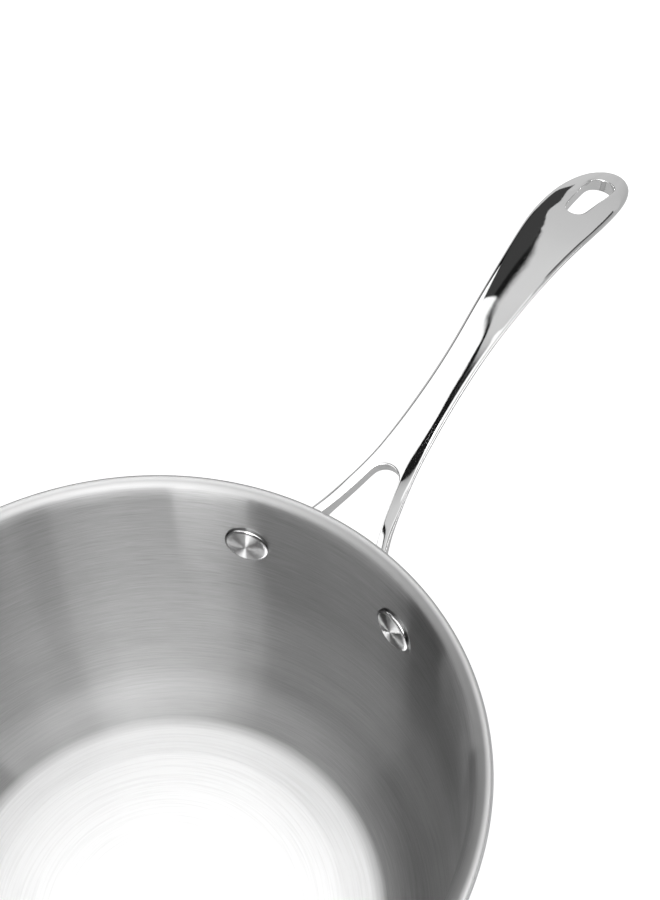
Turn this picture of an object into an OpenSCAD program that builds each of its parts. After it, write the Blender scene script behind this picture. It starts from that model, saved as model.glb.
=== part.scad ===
// Saucepan of bonded three-ply sheet with a flared pouring lip and a forked cast handle on two rivets.
// The origin is the centre of the base's underside, +Z is up and the handle points along +X.
// Left and right are the cook's, who holds the handle and looks towards the bowl.

/* [Bowl] */
// Inside diameter of the bowl's straight wall
bowl_d = 180; // [140:1:240]
// Height from the underside of the base to the top of the lip
bowl_h = 105.9; // [80:0.1:160]
// Inside radius of the corner between the floor and the wall
corner_r = 22; // [10:0.5:34]
// Thickness of the inner stainless steel ply
inner_ply_t = 0.5; // [0.3:0.05:0.9]
// Thickness of the aluminium core
core_t = 1.7; // [1:0.05:2.4]
// Thickness of the outer stainless steel ply
outer_ply_t = 0.5; // [0.3:0.05:0.9]

/* [Lip] */
// Radius of the flare, measured on the inside face of the sheet
flare_r = 6.5; // [6:0.1:8]
// Angle through which the flare turns the sheet outwards
flare_angle = 74; // [45:1:80]
// How far the trimmed edge of the sheet bulges where it is rounded over
lip_bulge = 1; // [0.2:0.1:1.5]

/* [Handle] */
// Distance from the lip to the tip of the handle
handle_reach = 167.5; // [140:0.1:220]
// Height of the handle's highest point above the lip
handle_rise = 25.4; // [10:0.1:45]
// Depth below the lip at which the top of the arms meets the mounting plate
root_drop = 10.4; // [9.6:0.1:14]
// Width over both arms where they meet the mounting plate
root_w = 32.3; // [28:0.1:38]
// Width of the handle at its waist
waist_w = 12.1; // [9:0.1:15]
// Width of the handle across its broad paddle end
paddle_w = 23.2; // [18:0.1:30]
// Thickness of the handle from the fork to the tip
grip_t = 4.4; // [3.5:0.1:6]
// Depth of each arm where it meets the mounting plate
root_t = 10; // [7:0.1:14]
// Drop of the crowned top face from its middle to its edges
crown_h = 0.7; // [0.2:0.05:1.1]
// Radius on the handle's upper edges
edge_r = 0.8; // [0.4:0.1:1.2]
// Width of the round that runs from each side to the flat of the underside
belly_w = 5; // [2:0.1:6]
// Width of the same round under the arms of the fork
arm_belly_w = 1.5; // [0.5:0.1:2.5]

/* [Fork] */
// Width of each arm of the fork, seen from above
arm_w = 4; // [3:0.1:5]
// Distance from the lip to the fork's crotch
fork_reach = 28; // [20:0.1:34]
// Length over which the crotch is rounded
crotch_l = 5; // [3:0.1:8]

/* [Hanging eye] */
// Length of the eye along the handle
eye_l = 25.8; // [18:0.1:32]
// Width of the eye's outer end
eye_w = 10.1; // [7:0.1:12]
// Width of the eye's inner end
eye_neck_w = 7.4; // [5:0.1:9]
// Metal left between the eye and the tip of the handle
eye_rim = 8; // [6:0.1:12]

/* [Mounting plate] */
// Height of the plate that hugs the bowl's outside
plate_h = 24; // [20:0.5:26]
// Thickness of the plate
plate_t = 3.2; // [2.4:0.1:5]
// Radius on the plate's outer edges
plate_edge_r = 0.8; // [0.3:0.1:1.2]

/* [Rivets] */
// Distance between the rivets, measured straight across the inside of the bowl
rivet_spread = 55.5; // [46:0.5:66]
// Depth of the rivets below the lip
rivet_drop = 22; // [21:0.5:30]
// Diameter of the rivet's shank
shank_d = 6; // [4:0.1:7]
// Radial gap between a shank and its holes
shank_gap = 0.05; // [0.02:0.01:0.1]
// Diameter of the domed head inside the bowl
head_d = 14.6; // [11:0.1:18]
// Height of the head's straight edge above the wall
head_edge_h = 0.9; // [0.6:0.1:2]
// Height of the head's dome above its edge
head_dome_h = 1.2; // [0.5:0.1:2.5]
// Diameter of the tail formed against the plate
tail_d = 10.6; // [8:0.1:14]
// Height of the formed tail
tail_h = 2.2; // [1:0.1:3]

/* [Hidden] */

// Faces round a full turn, and steps in each arc of an outline
$fn = 128;
corner_steps = 14;
flare_steps = 12;
edge_steps = 4;

// Sheet and bowl
bowl_r = bowl_d / 2;
wall_t = inner_ply_t + core_t + outer_ply_t;
wall_out_r = bowl_r + wall_t;
flare_z = bowl_h - flare_r * sin(flare_angle);
lip_mid_r = flare_r - wall_t / 2;
lip_r = bowl_r + flare_r - lip_mid_r * cos(flare_angle) + lip_bulge * sin(flare_angle);

// Length by which every cutting solid runs past the faces that it cuts
overrun = 2;

// Mounting plate and rivets
plate_r = wall_out_r + plate_t;
rivet_z = bowl_h - rivet_drop;
rivet_angle = asin(rivet_spread / 2 / bowl_r);
head_r = head_d / 2;
tail_r = tail_d / 2;
hole_r = shank_d / 2 + shank_gap;

// Height of the handle's top face: places as shares of its reach, heights as shares of its rise
rise_shares = [[0.17, -0.1], [0.34, 0.31], [0.5, 0.71], [0.62, 0.91], [0.73, 1], [0.84, 0.945],
    [0.92, 0.845], [1, 0.735]];
// Half width of the grip: places as shares of its reach, widths as shares from waist to paddle
width_shares = [[0.17, 0.385], [0.25, 0.125], [0.34, 0], [0.42, 0.015], [0.5, 0.185], [0.62, 0.51],
    [0.73, 0.875], [0.85, 1.28], [1, 1.94]];
// Width of the fork a little way out from the plate, as a share from waist to root
fork_place_share = 0.06;
fork_width_share = 0.635;
// Where the arms reach their plain thickness, and where the tip starts to close, as shares of the reach
arm_end_share = 0.06;
tip_share = 0.718;
// Thickness of the arms against that of the grip, and the run past the lip, against the fork's reach, in
// which the arms' section turns into the grip's
arm_t_share = 1.1;
fork_run_share = 1.6;
// Power of the crown's drop across half the section, and the places where it is drawn
crown_power = 4;
crown_place_shares = [0.35, 0.6, 0.8];
// Share of a narrow section's half width that the belly's round may take, and the steps in the round
belly_share = 0.75;
belly_steps = 5;
// Rings along the handle up to the closing tip, and round the tip itself
grip_rings = 42;
tip_rings = 12;
// Width share at which the tip's last ring closes
tip_end_share = 0.06;

root_x = wall_out_r - overrun;
tip_x = lip_r + handle_reach;
tip_start_x = lip_r + tip_share * handle_reach;
tip_l = tip_x - tip_start_x;

height_rows = concat([[0, -root_drop]], [for (row = rise_shares) [row[0], row[1] * handle_rise]]);
width_rows = concat(
    [[0, root_w / 2], [fork_place_share, (waist_w + fork_width_share * (root_w - waist_w)) / 2]],
    [for (row = width_shares) [row[0], (waist_w + row[1] * (paddle_w - waist_w)) / 2]]);

// Slope at row i of a table of [place, value] rows, from the rows on either side
function row_slope(rows, i) =
    let (low = max(i - 1, 0), high = min(i + 1, len(rows) - 1))
    (rows[high][1] - rows[low][1]) / (rows[high][0] - rows[low][0]);

// The stretch of a table that holds a place
function row_before(rows, place) = max([0, for (i = [0 : len(rows) - 2]) if (place >= rows[i][0]) i]);

// Smooth curve through a table's rows; past its ends it runs on along its last stretch
function smooth(rows, place) =
    let (i = row_before(rows, place),
        span = rows[i + 1][0] - rows[i][0],
        u = (place - rows[i][0]) / span,
        a = rows[i][1],
        b = rows[i + 1][1],
        p = row_slope(rows, i) * span,
        q = row_slope(rows, i + 1) * span)
    u < 0 ? a + p * u :
    a + u * (p + u * (3 * (b - a) - 2 * p - q + u * (2 * (a - b) + p + q)));

// Share of the reach at a distance from the bowl's axis
function reach_share(x) = (x - lip_r) / handle_reach;

// Height of the handle's top face, its slope, its half width and its thickness at a distance x
function top_z(x) = bowl_h + smooth(height_rows, reach_share(x));
function top_slope(x) = atan2(top_z(x + edge_r) - top_z(x - edge_r), 2 * edge_r);
function tip_close(x) = x < tip_start_x ? 1 : sqrt(max(0, 1 - pow((x - tip_start_x) / tip_l, 2)));
function open_half_w(x) = smooth(width_rows, reach_share(x));
function half_w(x) = open_half_w(x) * max(tip_end_share, tip_close(x));
function arm_blend(x) = max(0, 1 - max(0, reach_share(x)) / arm_end_share);
function fork_blend(x) = min(1, max(0, 1 - (x - lip_r) / (fork_run_share * fork_reach)));
function belly(x) = belly_w + (arm_belly_w - belly_w) * fork_blend(x);
function thick(x) =
    grip_t * (1 + (arm_t_share - 1) * fork_blend(x)) + (root_t - grip_t * arm_t_share) * pow(arm_blend(x), 2);

// Places of the handle's rings: even along the grip, then closing in on the tip
ring_x = concat(
    [for (i = [0 : grip_rings - 1]) root_x + (tip_start_x - root_x) * i / grip_rings],
    [for (i = [0 : tip_rings]) tip_start_x + tip_l * sin(90 * i / tip_rings)]);

// One side of a section: the belly's round up to the edge, the edge's own radius, then the crown
function section_side(h, t, round_w) =
    let (r = min(edge_r, h / 2, t / 4),
        drop = crown_h * min(1, h / (waist_w / 2)),
        w = min(round_w, belly_share * h))
    concat(
        [for (i = [0 : belly_steps]) let (a = 90 * i / belly_steps)
            [h - w + w * sin(a), -drop - r - (t - drop - r) * cos(a)]],
        [[h - r * (1 - cos(45)), -drop - r * (1 - sin(45))]],
        [for (i = [len(crown_place_shares) - 1 : -1 : 0])
            let (y = (h - r) * crown_place_shares[i]) [y, -drop * pow(y / h, crown_power)]]);

// A whole section, counted round from the bottom of the side at +Y, over the top to the other side
function section(h, t, round_w) =
    let (side = section_side(h, t, round_w), n = len(side))
    concat(side, [[0, 0]], [for (i = [n - 1 : -1 : 0]) [-side[i][0], side[i][1]]]);

// The section's points in space, square to the handle's top face at x
function ring(x) =
    let (slope = top_slope(x))
    [for (p = section(half_w(x), thick(x), belly(x)))
        [x - p[1] * sin(slope), p[0], top_z(x) + p[1] * cos(slope)]];

// Side faces between the rings of a sweep of m rings with n points each, and its two ends
function sweep_faces(m, n) = concat(
    [for (i = [0 : m - 2]) for (j = [0 : n - 1])
        [i * n + j, (i + 1) * n + (j + 1) % n, i * n + (j + 1) % n]],
    [for (i = [0 : m - 2]) for (j = [0 : n - 1])
        [i * n + j, (i + 1) * n + j, (i + 1) * n + (j + 1) % n]],
    [[for (j = [0 : n - 1]) j]],
    [[for (j = [n - 1 : -1 : 0]) (m - 1) * n + j]]);

// Half of the gap between the arms, which follows the arms' outer edges and closes in a round crotch
crotch_x = lip_r + fork_reach;
function gap_half_w(x) =
    (half_w(x) - arm_w) * sqrt(max(0, 1 - pow(max(0, (x - crotch_x + crotch_l) / crotch_l), 2)));
gap_steps = 16;
gap_x = concat(
    [for (i = [0 : gap_steps - 1]) root_x - overrun + (crotch_x - crotch_l - root_x + overrun) * i / gap_steps],
    [for (i = [0 : gap_steps]) crotch_x - crotch_l + crotch_l * sin(90 * i / gap_steps)]);

// The hanging eye: centres of its two round ends, and the angle at which its sides touch them
eye_out_x = tip_x - eye_rim - eye_w / 2;
eye_in_x = tip_x - eye_rim - eye_l + eye_neck_w / 2;
eye_side_angle = 180 - acos((eye_w - eye_neck_w) / 2 / (eye_out_x - eye_in_x));
eye_steps = 12;

// Outline of one face of the sheet at depth d below its inside face, from the axis to the lip
function sheet_line(d) = concat(
    [[0, wall_t - d]],
    [for (i = [0 : corner_steps]) let (a = 90 * i / corner_steps)
        [bowl_r - corner_r + (corner_r + d) * sin(a), wall_t + corner_r - (corner_r + d) * cos(a)]],
    [for (i = [0 : flare_steps]) let (a = flare_angle * i / flare_steps)
        [bowl_r + flare_r - (flare_r - d) * cos(a), flare_z + (flare_r - d) * sin(a)]]);

// Point of the lip's edge at one depth, where the trimmed sheet bulges outwards, and the edge of one ply
function lip_point(d) =
    let (out = lip_bulge * sqrt(max(0, 1 - pow(2 * d / wall_t - 1, 2))))
    [bowl_r + flare_r - (flare_r - d) * cos(flare_angle) + out * sin(flare_angle),
        flare_z + (flare_r - d) * sin(flare_angle) + out * cos(flare_angle)];
function lip_edge(d0, d1) = [for (i = [0 : edge_steps]) lip_point(d0 + (d1 - d0) * i / edge_steps)];

function reversed(list) = [for (i = [len(list) - 1 : -1 : 0]) list[i]];

// A shank or a hole along a rivet's own axis, between two distances from the bowl's axis
module radial_rod(side, r, from_r, to_r) {
    rotate([0, 0, side * rivet_angle])
        translate([from_r, 0, rivet_z])
            rotate([0, 90, 0])
                cylinder(r = r, h = to_r - from_r);
}

// One ply of the bowl between two depths below its inside face, with both rivet holes
module ply(d0, d1) {
    difference() {
        rotate_extrude()
            polygon(concat(sheet_line(d0), lip_edge(d0, d1), reversed(sheet_line(d1))));
        for (side = [-1, 1])
            radial_rod(side, hole_r, bowl_r - overrun, wall_out_r + overrun);
    }
}

module inner_ply() {
    color([0.76, 0.76, 0.75])
        ply(0, inner_ply_t);
}

module aluminium_core() {
    color([0.86, 0.87, 0.88])
        ply(inner_ply_t, inner_ply_t + core_t);
}

module outer_ply() {
    color([0.82, 0.82, 0.82])
        ply(inner_ply_t + core_t, wall_t);
}

// The gap between the fork's arms, cut straight down
module fork_gap() {
    translate([0, 0, top_z(root_x) - root_t - overrun])
        linear_extrude(height = handle_rise + root_drop + root_t + 2 * overrun)
            polygon(concat(
                [for (x = gap_x) [x, gap_half_w(x)]],
                [for (i = [len(gap_x) - 2 : -1 : 0]) [gap_x[i], -gap_half_w(gap_x[i])]]));
}

// The eye that the pan hangs by, cut square to the top face at its middle
module hanging_eye() {
    mid_x = (eye_in_x + eye_out_x) / 2;
    turn = eye_side_angle;
    translate([mid_x, 0, top_z(mid_x)])
        rotate([0, -top_slope(mid_x), 0])
            translate([-mid_x, 0, -grip_t - edge_r - overrun])
                linear_extrude(height = grip_t + 2 * (edge_r + overrun))
                    polygon(concat(
                        [for (i = [0 : eye_steps]) let (a = turn * (2 * i / eye_steps - 1))
                            [eye_out_x, 0] + eye_w / 2 * [cos(a), sin(a)]],
                        [for (i = [0 : eye_steps]) let (a = turn + 2 * (180 - turn) * i / eye_steps)
                            [eye_in_x, 0] + eye_neck_w / 2 * [cos(a), sin(a)]]));
}

// The swept bar of the handle, from inside the mounting plate to the tip
module bar() {
    rings = [for (x = ring_x) ring(x)];
    polyhedron(points = [for (r = rings) each r], faces = sweep_faces(len(rings), len(rings[0])));
}

// The plate that hugs the bowl: a ring's arc inside a round-ended outline
module mounting_plate() {
    end_y = plate_r * sin(rivet_angle);
    intersection() {
        rotate_extrude()
            translate([wall_out_r, rivet_z - plate_h / 2])
                polygon([[0, 0], [plate_t - plate_edge_r, 0], [plate_t, plate_edge_r],
                    [plate_t, plate_h - plate_edge_r], [plate_t - plate_edge_r, plate_h], [0, plate_h]]);
        translate([0, 0, rivet_z])
            rotate([90, 0, 90])
                linear_extrude(height = plate_r + overrun)
                    union() {
                        square([2 * end_y, plate_h], center = true);
                        translate([end_y, 0])
                            circle(d = plate_h);
                        translate([-end_y, 0])
                            circle(d = plate_h);
                    }
    }
}

module handle() {
    color([0.83, 0.83, 0.84])
        difference() {
            union() {
                difference() {
                    bar();
                    fork_gap();
                    hanging_eye();
                    translate([0, 0, rivet_z - plate_h])
                        cylinder(r = wall_out_r, h = 2 * plate_h);
                }
                mounting_plate();
            }
            for (side = [-1, 1])
                radial_rod(side, hole_r, wall_out_r - overrun, plate_r + overrun);
        }
}

// Outline of a low dome with a straight edge, for a rivet's head or tail
dome_steps = 8;
function dome_line(r, edge_h, dome_h) = concat(
    [[0, 0], [r, 0]],
    [for (i = [0 : dome_steps]) let (a = 90 * i / dome_steps) [r * cos(a), edge_h + dome_h * sin(a)]]);

// A domed button whose flat side lies at a distance from the bowl's axis and faces outwards or inwards
module button(side, r, edge_h, dome_h, seat_r, turn) {
    rotate([0, 0, side * rivet_angle])
        translate([seat_r, 0, rivet_z])
            rotate([0, turn, 0])
                rotate_extrude()
                    polygon(dome_line(r, edge_h, dome_h));
}

// A rivet: its head is seated on the inside wall, its shank goes through, its tail grips the plate
module rivet(side) {
    color([0.86, 0.86, 0.87])
        union() {
            intersection() {
                button(side, head_r, head_edge_h + overrun, head_dome_h, bowl_r + overrun, -90);
                translate([0, 0, rivet_z - head_d])
                    cylinder(r = bowl_r, h = 2 * head_d);
            }
            radial_rod(side, shank_d / 2, bowl_r - head_edge_h, plate_r + tail_h / 2);
            difference() {
                button(side, tail_r, tail_h / 2 + overrun, tail_h / 2, plate_r - overrun, 90);
                translate([0, 0, rivet_z - tail_d])
                    cylinder(r = plate_r, h = 2 * tail_d);
            }
        }
}

module rivet_left() {
    rivet(-1);
}

module rivet_right() {
    rivet(1);
}

inner_ply();
aluminium_core();
outer_ply();
handle();
rivet_left();
rivet_right();
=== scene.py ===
"""Saucepan with a flared lip and a riveted forked handle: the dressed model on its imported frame.

The bowl is lathed from the section of its three-ply sheet, the handle is shaped from a grid whose rows
follow its curves, and the rivets are lathed round their own axes. Lengths are in metres, and in
millimetres in the classes that say so.
"""
import logging
import math
from collections.abc import Callable, Sequence
from dataclasses import dataclass
from enum import Enum
from functools import cached_property

import bmesh
import bpy
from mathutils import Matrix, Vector


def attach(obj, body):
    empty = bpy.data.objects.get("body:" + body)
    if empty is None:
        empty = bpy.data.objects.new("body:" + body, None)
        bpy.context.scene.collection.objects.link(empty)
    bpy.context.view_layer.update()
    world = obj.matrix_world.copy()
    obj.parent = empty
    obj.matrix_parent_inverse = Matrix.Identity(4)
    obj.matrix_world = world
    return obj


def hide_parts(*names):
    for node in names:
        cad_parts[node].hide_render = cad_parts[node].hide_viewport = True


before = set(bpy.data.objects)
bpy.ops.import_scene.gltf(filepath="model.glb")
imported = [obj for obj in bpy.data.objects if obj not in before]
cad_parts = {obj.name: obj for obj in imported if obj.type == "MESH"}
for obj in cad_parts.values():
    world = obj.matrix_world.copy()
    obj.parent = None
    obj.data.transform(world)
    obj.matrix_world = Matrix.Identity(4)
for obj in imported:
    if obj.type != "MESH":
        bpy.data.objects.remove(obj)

LOG = logging.getLogger("saucepan")
MM = 0.001
FULL_TURN = 360
BODY = "root"
Place = Colour = tuple[float, float, float]
Point = tuple[float, float]
Rows = tuple[Point, ...]
Numbers = tuple[float, ...]
Where = Callable[[Vector], Vector]
Piece = bpy.types.Object
Material = bpy.types.Material
Node = bpy.types.Node
Socket = bpy.types.NodeSocket
Value = Socket | float | Colour
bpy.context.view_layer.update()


class Side(Enum):
    """The cook's left and right hand side of the handle."""

    LEFT = -1
    RIGHT = 1


class Brushing(Enum):
    """The direction in which a finish was ground or polished."""

    ROUND = "rings round the bowl's axis"
    ALONG = "lines along the handle"


def passed(value: float, low: float, high: float) -> float:
    """How far a value has come from low to high, from nothing to one."""
    return min(1.0, max(0.0, (value - low) / (high - low)))


def turns(steps: int, end: float = math.pi / 2) -> list[float]:
    """Even steps of an angle, from nothing to the end, which is a quarter turn if it isn't given."""
    return [end * i / steps for i in range(steps + 1)]


def smooth_rows(rows: Sequence[Point], place: float) -> float:
    """Read a smooth curve through a table.

    Args:
        rows: Places and values, in rising order of place.
        place: Where the curve is read; before the first row it runs on straight.

    Returns:
        The curve's value there.
    """
    def slope(i: int) -> float:
        """Slope at row i, from the rows on either side."""
        low, high = max(i - 1, 0), min(i + 1, len(rows) - 1)
        return (rows[high][1] - rows[low][1]) / (rows[high][0] - rows[low][0])

    i = max([0] + [n for n in range(len(rows) - 1) if place >= rows[n][0]])
    span = rows[i + 1][0] - rows[i][0]
    u = (place - rows[i][0]) / span
    a, b = rows[i][1], rows[i + 1][1]
    p, q = slope(i) * span, slope(i + 1) * span
    if u < 0:
        return a + p * u
    return a + u * (p + u * (3 * (b - a) - 2 * p - q + u * (2 * (a - b) + p + q)))


class Bench:
    """Modelling steps that every piece shares, each one done with Blender's own operators."""

    merge: float = 1e-6
    still: float = 1e-8
    smooth_angle: float = 35

    @staticmethod
    def take(piece: Piece) -> None:
        """Make one piece the selected and active object.

        Args:
            piece: The object to take.
        """
        bpy.ops.object.select_all(action="DESELECT")
        piece.select_set(True)
        bpy.context.view_layer.objects.active = piece

    @staticmethod
    def named(name: str) -> Piece:
        """Name the object that was just added, and its mesh alike, and take it.

        Args:
            name: The piece's name.

        Returns:
            The object.
        """
        piece = bpy.context.object
        piece.name = piece.data.name = name
        Bench.take(piece)
        return piece

    @staticmethod
    def carry(piece: Piece, where: Where) -> None:
        """Move each vertex in edit mode to a new place, one translation at a time.

        Args:
            piece: The object in edit mode.
            where: Takes a vertex's place and gives its new one.
        """
        bpy.ops.mesh.select_mode(type="VERT")
        bpy.ops.mesh.select_all(action="DESELECT")
        mesh = bmesh.from_edit_mesh(piece.data)
        for i in range(len(mesh.verts)):
            mesh.verts.ensure_lookup_table()
            vert = mesh.verts[i]
            step = where(vert.co) - vert.co
            if step.length < Bench.still:
                continue
            vert.select_set(True)
            bpy.ops.transform.translate(value=step)
            mesh = bmesh.from_edit_mesh(piece.data)
            mesh.verts.ensure_lookup_table()
            mesh.verts[i].select_set(False)

    @staticmethod
    def close() -> None:
        """Merge doubled vertices, turn every face outwards and leave edit mode."""
        bpy.ops.mesh.select_all(action="SELECT")
        bpy.ops.mesh.remove_doubles(threshold=Bench.merge)
        bpy.ops.mesh.normals_make_consistent(inside=False)
        bpy.ops.mesh.select_all(action="DESELECT")
        bpy.ops.object.mode_set(mode="OBJECT")

    @staticmethod
    def block(name: str, cells: tuple[int, int, int], where: Where, shift: float = 0.0,
              hole: Callable[[Vector], bool] | None = None) -> Piece:
        """Extrude a flat grid into a block of unit cells and carry its points to their places.

        Args:
            name: The piece's name.
            cells: Cells along X, along Y and down Z.
            where: Takes a point of the block and gives its place on the piece.
            shift: How far the block's middle lies along X.
            hole: Takes the centre of a cell and says whether it is left open.

        Returns:
            The closed solid as a mesh object at the origin.
        """
        bpy.ops.mesh.primitive_grid_add(x_subdivisions=cells[0], y_subdivisions=cells[1], size=2)
        piece = Bench.named(name)
        bpy.ops.object.mode_set(mode="EDIT")
        bpy.ops.transform.resize(value=(cells[0] / 2, cells[1] / 2, 1))
        bpy.ops.transform.translate(value=(shift, 0, 0))
        if hole:
            bpy.ops.mesh.select_mode(type="FACE")
            bpy.ops.mesh.select_all(action="DESELECT")
            for face in bmesh.from_edit_mesh(piece.data).faces:
                if hole(face.calc_center_median()):
                    face.select_set(True)
            bmesh.update_edit_mesh(piece.data)
            bpy.ops.mesh.delete(type="FACE")
        bpy.ops.mesh.select_all(action="SELECT")
        for _ in range(cells[2]):
            bpy.ops.mesh.extrude_region_move(TRANSFORM_OT_translate={"value": (0, 0, -1)})
        Bench.carry(piece, where)
        Bench.close()
        return piece

    @staticmethod
    def trace(name: str, outline: Sequence[Place]) -> Piece:
        """Draw a closed outline by extruding a point, and leave it selected in edit mode.

        Args:
            name: The piece's name.
            outline: The outline's points, without the first one again.

        Returns:
            The outline as a mesh object at the origin.
        """
        bpy.ops.mesh.primitive_plane_add(size=MM, location=(0, 0, 0))
        piece = Bench.named(name)
        bpy.ops.object.mode_set(mode="EDIT")
        bpy.ops.mesh.select_mode(type="VERT")
        bpy.ops.mesh.select_all(action="SELECT")
        bpy.ops.mesh.merge(type="CENTER")
        bpy.ops.mesh.select_all(action="SELECT")
        bpy.ops.transform.translate(value=outline[0])
        for here, there in zip(outline, [*outline[1:], outline[0]]):
            step = Vector(there) - Vector(here)
            bpy.ops.mesh.extrude_region_move(TRANSFORM_OT_translate={"value": step})
        bpy.ops.mesh.select_all(action="SELECT")
        bpy.ops.mesh.remove_doubles(threshold=Bench.merge)
        bpy.ops.mesh.select_all(action="SELECT")
        return piece

    @staticmethod
    def lathe(name: str, outline: Sequence[Place], centre: Place, axis: Place, steps: int) -> Piece:
        """Spin a closed outline round an axis.

        Args:
            name: The piece's name.
            outline: The outline's points in one half plane of the axis, without the first one again.
            centre: A point on the axis.
            axis: The axis's direction.
            steps: Faces round the full turn.

        Returns:
            The closed solid as a mesh object at the origin.
        """
        piece = Bench.trace(name, outline)
        bpy.ops.mesh.spin(steps=steps, angle=math.tau, center=centre, axis=axis)
        Bench.close()
        return piece

    @staticmethod
    def modify(piece: Piece, kind: str, **settings: object) -> None:
        """Add a modifier, set it and apply it.

        Args:
            piece: The object to modify.
            kind: The modifier's type.
            **settings: Its properties and their values.
        """
        Bench.take(piece)
        modifier = piece.modifiers.new(kind.lower(), kind)
        for key, value in settings.items():
            setattr(modifier, key, value)
        bpy.ops.object.modifier_apply(modifier=modifier.name)

    @staticmethod
    def finish(piece: Piece, nodes: Sequence[str], slot: str, material: Material) -> None:
        """Shade a piece, give it its finish and put it on the frame.

        Args:
            piece: The finished mesh object.
            nodes: The CAD nodes that it stands for.
            slot: Not used.
            material: Its finish.
        """
        Bench.take(piece)
        bpy.ops.object.shade_smooth_by_angle(angle=math.radians(Bench.smooth_angle))
        piece.data.materials.clear()
        piece.data.materials.append(material)
        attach(piece, BODY)
        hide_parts(*nodes)
        LOG.info("%s: %d faces", piece.name, len(piece.data.polygons))


class Graph:
    """A small helper that adds and links the nodes of one material."""

    def __init__(self, name: str) -> None:
        """Start an empty material.

        Args:
            name: The material's name.
        """
        self.material = bpy.data.materials.new(name)
        self.material.use_nodes = True
        self.tree = self.material.node_tree
        self.tree.nodes.clear()

    def add(self, kind: str, inputs: dict[int | str, Value] | None = None, **settings: str) -> Node:
        """Add a node.

        Args:
            kind: The node's type, such as ShaderNodeMath.
            inputs: Values or output sockets for its inputs, by name or number.
            **settings: The node's own properties.

        Returns:
            The new node.
        """
        node = self.tree.nodes.new(kind)
        for key, value in settings.items():
            setattr(node, key, value)
        for key, value in (inputs or {}).items():
            socket = node.inputs[key]
            if isinstance(value, Socket):
                self.tree.links.new(value, socket)
            else:
                socket.default_value = (*value, 1) if socket.type == "RGBA" else value
        return node

    def math(self, operation: str, *values: Value) -> Socket:
        """Add a math node, by its operation's name, and give its result."""
        return self.add("ShaderNodeMath", dict(enumerate(values)), operation=operation).outputs[0]

    def vector(self, operation: str, *values: Value) -> Socket:
        """Add a vector math node, by its operation's name, and give its vector."""
        return self.add("ShaderNodeVectorMath", dict(enumerate(values)), operation=operation).outputs[0]

    def length(self, vector: Value) -> Socket:
        """Length of a vector."""
        return self.add("ShaderNodeVectorMath", {0: vector}, operation="LENGTH").outputs["Value"]

    def scale(self, colour: Value, factor: Value) -> Socket:
        """Darken or lighten a colour by a factor."""
        return self.add("ShaderNodeVectorMath", {0: colour, 3: factor}, operation="SCALE").outputs[0]

    def spread(self, value: Value, low: float, high: float, to_low: float = 0.0,
               to_high: float = 1.0) -> Socket:
        """Map the values from low to high smoothly to those from to_low to to_high."""
        limits = dict(enumerate((value, low, high, to_low, to_high)))
        return self.add("ShaderNodeMapRange", limits, interpolation_type="SMOOTHSTEP").outputs[0]

    def vary(self, noise: Value, middle: float, part: float, span: Point = (0.3, 0.7)) -> Socket:
        """Vary a measure about its middle by as much as a part, as a noise goes through its span."""
        return self.spread(noise, *span, middle - part, middle + part)

    def blend(self, share: Value, first: Value, second: Value) -> Socket:
        """Blend two colours by the second one's share."""
        return self.add("ShaderNodeMix", {0: share, 6: first, 7: second}, data_type="RGBA").outputs[2]

    def ramp(self, value: Value, stops: Sequence[Point], reach: float) -> Socket:
        """Read a grey level from a row of stops.

        Args:
            value: The place on the row, from nothing to the reach.
            stops: Places and levels.
            reach: The row's length.

        Returns:
            The level.
        """
        node = self.add("ShaderNodeValToRGB", {0: self.math("DIVIDE", value, reach)})
        levels = node.color_ramp.elements
        levels[0].position, levels[1].position = stops[0][0] / reach, stops[-1][0] / reach
        for place, _ in stops[1:-1]:
            levels.new(place / reach)
        for level, (_, grey) in zip(levels, stops):
            level.color = (grey, grey, grey, 1)
        return node.outputs[0]

    def noise(self, vector: Value, scale: float, detail: float, rough: float) -> Socket:
        """Add a noise of a scale, with so many octaves and so much strength in the finer ones."""
        return self.add("ShaderNodeTexNoise", {"Vector": vector, "Scale": scale, "Detail": detail,
                                               "Roughness": rough}).outputs[0]

    @cached_property
    def place(self) -> Socket:
        """The place on the piece."""
        return self.add("ShaderNodeTexCoord").outputs["Object"]

    @cached_property
    def axes(self) -> Sequence[Socket]:
        """The place on the piece, as separate axes."""
        return self.add("ShaderNodeSeparateXYZ", {0: self.place}).outputs

    @cached_property
    def run(self) -> Socket:
        """Distance along the profile of a lathed piece, as its radius and height together."""
        flat = self.add("ShaderNodeCombineXYZ", {0: self.axes[0], 1: self.axes[1]}).outputs[0]
        return self.math("ADD", self.length(flat), self.axes[2])

    def rings(self, stretch: float) -> Socket:
        """Coordinates that change fast along the profile and, by a stretch, slowly round the piece."""
        level = {n: self.math("MULTIPLY", self.axes[n], stretch) for n in (0, 1)}
        return self.add("ShaderNodeCombineXYZ", {**level, 2: self.run}).outputs[0]

    def metal(self, colour: Value, roughness: Value, **inputs: Value) -> Node:
        """Add a metal's shader, with further inputs by name."""
        return self.add("ShaderNodeBsdfPrincipled", {
            "Base Color": colour, "Metallic": 1.0, "Roughness": roughness, **inputs})

    def brushed(self, colour: Value, roughness: Value, anisotropy: float, way: Socket) -> Node:
        """Add the shader of a metal that is brushed one way."""
        return self.add("ShaderNodeBsdfAnisotropic", {
            "Color": colour, "Roughness": roughness, "Anisotropy": anisotropy, "Tangent": way})

    def mix(self, share: Value, first: Node, second: Node) -> Node:
        """Mix two shaders by the second one's share."""
        return self.add("ShaderNodeMixShader", {0: share, 1: first.outputs[0], 2: second.outputs[0]})

    def glow(self, colour: Value, strength: float) -> Node:
        """Add the shader of a lamp's face."""
        return self.add("ShaderNodeEmission", {0: colour, 1: strength})

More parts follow.
